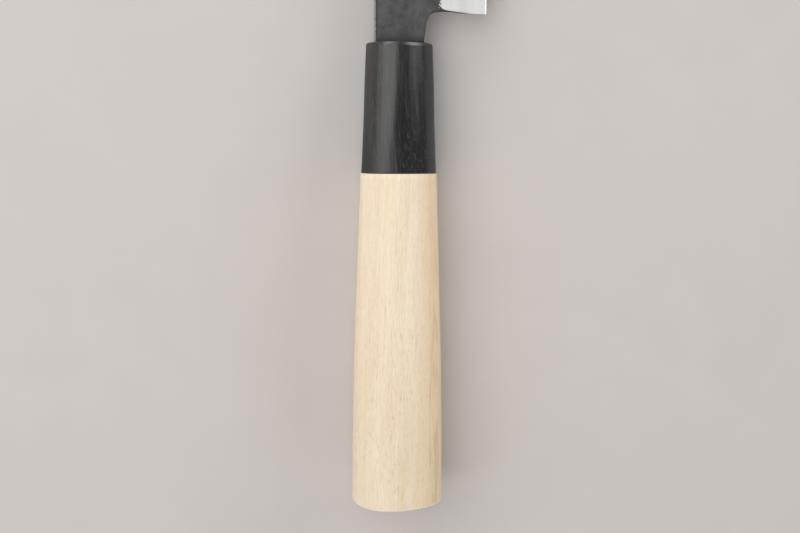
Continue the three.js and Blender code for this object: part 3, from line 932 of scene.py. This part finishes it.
def plan(outline, lines, extra, step):
    """Triangulates the flat outline with inner crease lines and an even spread of points."""
    verts, edges = [], []

    def chain(points, closed):
        s = len(verts)
        verts.extend(points)
        for i in range(len(points) - 1):
            edges.append((s + i, s + i + 1))
        if closed:
            edges.append((s + len(points) - 1, s))

    chain(outline, True)
    for line in lines:
        chain(line, False)
    cell = {}

    def near(p, r):
        cx, cy = int(p[0] // 1.0), int(p[1] // 1.0)
        for i in (-1, 0, 1):
            for j in (-1, 0, 1):
                for q in cell.get((cx + i, cy + j), ()):
                    if math.dist(p, q) < r:
                        return True
        return False

    def note(p):
        cell.setdefault((int(p[0] // 1.0), int(p[1] // 1.0)), []).append(p)

    for p in verts:
        note(p)
    for p in extra:
        if inside(p, outline) and not near(p, 0.15):
            verts.append(p)
            note(p)
    lo_u, hi_u = min(p[0] for p in outline), max(p[0] for p in outline)
    lo_v, hi_v = min(p[1] for p in outline), max(p[1] for p in outline)
    row, v = 0, lo_v + step / 2
    while v < hi_v:
        u = lo_u + (step / 2 if row % 2 else 0.0)
        while u < hi_u:
            st = step if u > SHOULDER_AT - 2 else step * 3
            p = (u, v)
            if near(p, st * 0.62) is False and inside(p, outline):
                verts.append(p)
                note(p)
            u += st
        v += step * 0.87
        row += 1
    res = delaunay_2d_cdt([Vector(p) for p in verts], edges, [], 1, 1e-6)
    return [(p.x, p.y) for p in res[0]], [tuple(f) for f in res[2]]


def layer_object(name, points, tris, top, bottom, mats, flip_w, wall_index, facts):
    """Closed solid between two height fields over one triangulated outline."""
    n = len(points)
    sgn = -1.0 if flip_w else 1.0
    verts = [(p[0], p[1], sgn * top(p)) for p in points] + [(p[0], p[1], sgn * bottom(p)) for p in points]
    faces, where = [], []
    count = {}
    for t in tris:
        (ax, ay), (bx, by), (cx, cy) = points[t[0]], points[t[1]], points[t[2]]
        ccw = (bx - ax) * (cy - ay) - (by - ay) * (cx - ax) > 0
        t = t if ccw else (t[0], t[2], t[1])
        up_face = t if not flip_w else (t[0], t[2], t[1])
        faces.append(up_face)
        where.append(0)
        faces.append(tuple(n + i for i in reversed(up_face)))
        where.append(0)
        for a, b in ((t[0], t[1]), (t[1], t[2]), (t[2], t[0])):
            count[(a, b)] = count.get((a, b), 0) + 1
    rim = [(a, b) for (a, b) in count if (b, a) not in count]
    for a, b in rim:
        q = (b, a, n + a, n + b) if not flip_w else (a, b, n + b, n + a)
        faces.append(q)
        where.append(wall_index(points[a], points[b]))
    ob = new_object(name, verts, faces, mats)
    me = ob.data
    me.polygons.foreach_set("material_index", where)
    for key, fn in facts.items():
        att = me.attributes.new(key, "FLOAT", "POINT")
        vals = [fn(p) for p in points]
        att.data.foreach_set("value", vals + vals)
    return ob


UNPLACE = KNIFE.inverted()


def knife_mm(co):
    return (UNPLACE @ co) / MM


def mark_creases(ob, on_crease):
    """Sharp edges on the rim and along the lines the test picks out."""
    me = ob.data
    sharp = []
    faces_of = {}
    for poly in me.polygons:
        for k in poly.edge_keys:
            faces_of.setdefault(k, []).append(poly.index)
    normals = [p.normal.copy() for p in me.polygons]
    for e in me.edges:
        k = tuple(sorted(e.vertices))
        fs = faces_of.get(k, [])
        s = False
        if len(fs) == 2 and normals[fs[0]].dot(normals[fs[1]]) < math.cos(math.radians(28)):
            s = True
        elif on_crease(knife_mm(me.vertices[e.vertices[0]].co)) and on_crease(knife_mm(me.vertices[e.vertices[1]].co)):
            s = True
        sharp.append(s)
    att = me.attributes.get("sharp_edge") or me.attributes.new("sharp_edge", "BOOLEAN", "EDGE")
    att.data.foreach_set("value", sharp)


STEP = 0.75
micro_line = [(u, blade_facts(u)[0] + blade_facts(u)[4]) for (u, _) in EDGE_LINE if u < TIP_AT - 1.5]
grind_line = [(u, blade_facts(u)[0] + blade_facts(u)[3]) for (u, _) in EDGE_LINE if u < TIP_AT - 3.0]


def surface(p, seed):
    """Half-thickness of the finished blade: nominal wedge, eased spine and choil, faint forging waves on the scale."""
    u, v = p
    e, sp, half, grind, micro, micro_w, core, lam = blade_facts(u)
    t = half_thickness(u, v)
    ds = spine_distance(p)
    dc = choil_distance(p)
    t -= ease(ds, 0.65, min(0.42, 0.45 * t))
    s = v - e
    t -= ease(dc, 0.35, min(0.22, 0.4 * t))
    on_scale = smoothstep(grind - 0.2, grind + 0.9, s) * smoothstep(SHOULDER_AT - 1.0, SHOULDER_AT + 1.5, u)
    waves = 0.5 + 0.5 * noise.noise(Vector((u * 0.16, v * 0.22, seed)))
    dents = 0.5 + 0.5 * noise.fractal(Vector((u * 0.75, v * 0.75, seed + 4.0)), 1.0, 2.0, 3)
    t -= on_scale * (0.035 * waves + 0.030 * max(0.0, min(1.0, dents))) * min(1.0, half / 1.0)
    return max(t, core + 0.022 if s > lam + 0.05 else 0.02)


blade_mat = blade_material()
scale_mat = blade_material(all_scale=True)


# where the ground bevel breaks through the scale at the heel: (u, v) along the ragged boundary, from the outline upwards
HEEL_BREAK = [
    (129.1, -15.6), (129.3, -14.4), (129.5, -13.4), (129.68, -12.5), (129.85, -11.9), (130.05, -11.4), (130.4, -10.98), (130.75, -10.72),
    (131.05, -10.72), (131.35, -10.55), (131.6, -10.8), (131.85, -10.62), (132.1, -10.5), (132.45, -10.62), (135.0, -10.66),
]


def grind_side(p):
    """Millimetres above the line where the scale was ground away: along the grind line, then round the heel's corner."""
    u, v = p
    e, sp, half, grind, micro, micro_w, core, lam = blade_facts(u)
    if u >= 135.0:
        return v - e - grind
    slope = (table(HEEL_BREAK, u + 0.15) - table(HEEL_BREAK, u - 0.15)) / 0.3
    return (v - table(HEEL_BREAK, u)) / math.hypot(1.0, slope)


facts = {
    "bev": grind_side,
    "lam": lambda p: (p[1] - blade_facts(p[0])[0]) - blade_facts(p[0])[7],
    "edge_s": lambda p: (p[1] - blade_facts(p[0])[0]) / max(0.05, blade_facts(p[0])[4]),
    "spine_d": lambda p: min(3.0, spine_distance(p)),
}

# the two claddings: everything above the lamination line, with half of the tang
clad_end = max(p[0] for p in LAM_LINE if lookup(SPINE_PTS, p[0]) - p[1] > 0.08)
clad_outline = [p for p in reversed(SPINE_LINE) if p[0] <= clad_end] + TANG
clad_outline += [p for p in CHOIL[1:] if p[1] > LAM_LINE[0][1] + 0.05] + [p for p in crease_from_heel(LAM_LINE) if p[0] <= clad_end]
clad_outline = [p for i, p in enumerate(clad_outline) if i == 0 or math.dist(p, clad_outline[i - 1]) > 0.02]
heel_grid = [(129.4 + 0.26 * i, -15.2 + 0.26 * j) for i in range(17) for j in range(23)]
clad_lines = [crease_from_heel(grind_line)]
clad_lines += [beside(SPINE_FULL, -d, lambda p: p[0] < TIP_AT - 5) for d in (0.08, 0.2, 0.36, 0.65)]
clad_lines += [beside(CHOIL, d, lambda p: p[1] > LAM_LINE[0][1] + 0.35) for d in (0.07, 0.18, 0.35)]
points, tris = plan(clad_outline, clad_lines, heel_grid, STEP)
for name, node, flip, seed in (("blade_cladding_right", "cladding_right", False, 1.7), ("blade_cladding_left", "cladding_left", True, 23.4)):
    ob = layer_object(
        name, points, tris,
        lambda p, seed=seed: max(surface(p, seed), blade_facts(p[0])[6] + 0.022),
        lambda p: blade_facts(p[0])[6] + 0.012,
        [blade_mat, scale_mat], flip,
        lambda a, b: 0 if a[1] < -9.0 and a[0] < 134 or (a[1] + b[1]) / 2 - blade_facts((a[0] + b[0]) / 2)[0] < blade_facts((a[0] + b[0]) / 2)[7] + 0.3 else 1,
        facts,
    )
    mark_creases(ob, lambda c: False)
    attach(ob, "root")
    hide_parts(node)

# the core: whole outline, down to the edge
core_outline = list(reversed(SPINE_LINE)) + TANG + CHOIL[1:] + EDGE_LINE + [(TIP_AT, TIP_V)]
core_outline = [p for i, p in enumerate(core_outline) if i == 0 or math.dist(p, core_outline[i - 1]) > 0.02]
in_lines = [crease_from_heel(micro_line), crease_from_heel([p for p in LAM_LINE if p[0] < TIP_AT - 2.5])]
points, tris = plan(core_outline, in_lines, [], STEP)


def core_top(p):
    e, sp, half, grind, micro, micro_w, core, lam = blade_facts(p[0])
    if p[1] - e > lam:
        return core
    return max(0.02, min(core, half_thickness(p[0], p[1])))


ob = layer_object(
    "blade_core", points, tris, core_top, lambda p: -core_top(p), [blade_mat, scale_mat], False,
    lambda a, b: 0 if a[1] < -9.0 and a[0] < 134 or (a[1] + b[1]) / 2 - blade_facts((a[0] + b[0]) / 2)[0] < 0.4 else 1, facts,
)


def on_micro(c):
    e, sp, half, grind, micro, micro_w, core, lam = blade_facts(c[0])
    return c[0] > HEEL_AT and abs(c[1] - e - micro) < 0.02


mark_creases(ob, on_micro)
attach(ob, "root")
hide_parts("core_steel")

# ------------------------------------------------------------------ bedding of the tang keeps its built shape
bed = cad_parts["tang_bedding"]
resin = resin_material()
if bed.data.materials:
    bed.data.materials[0] = resin
else:
    bed.data.materials.append(resin)

# ------------------------------------------------------------------ scene update
bpy.context.view_layer.update()
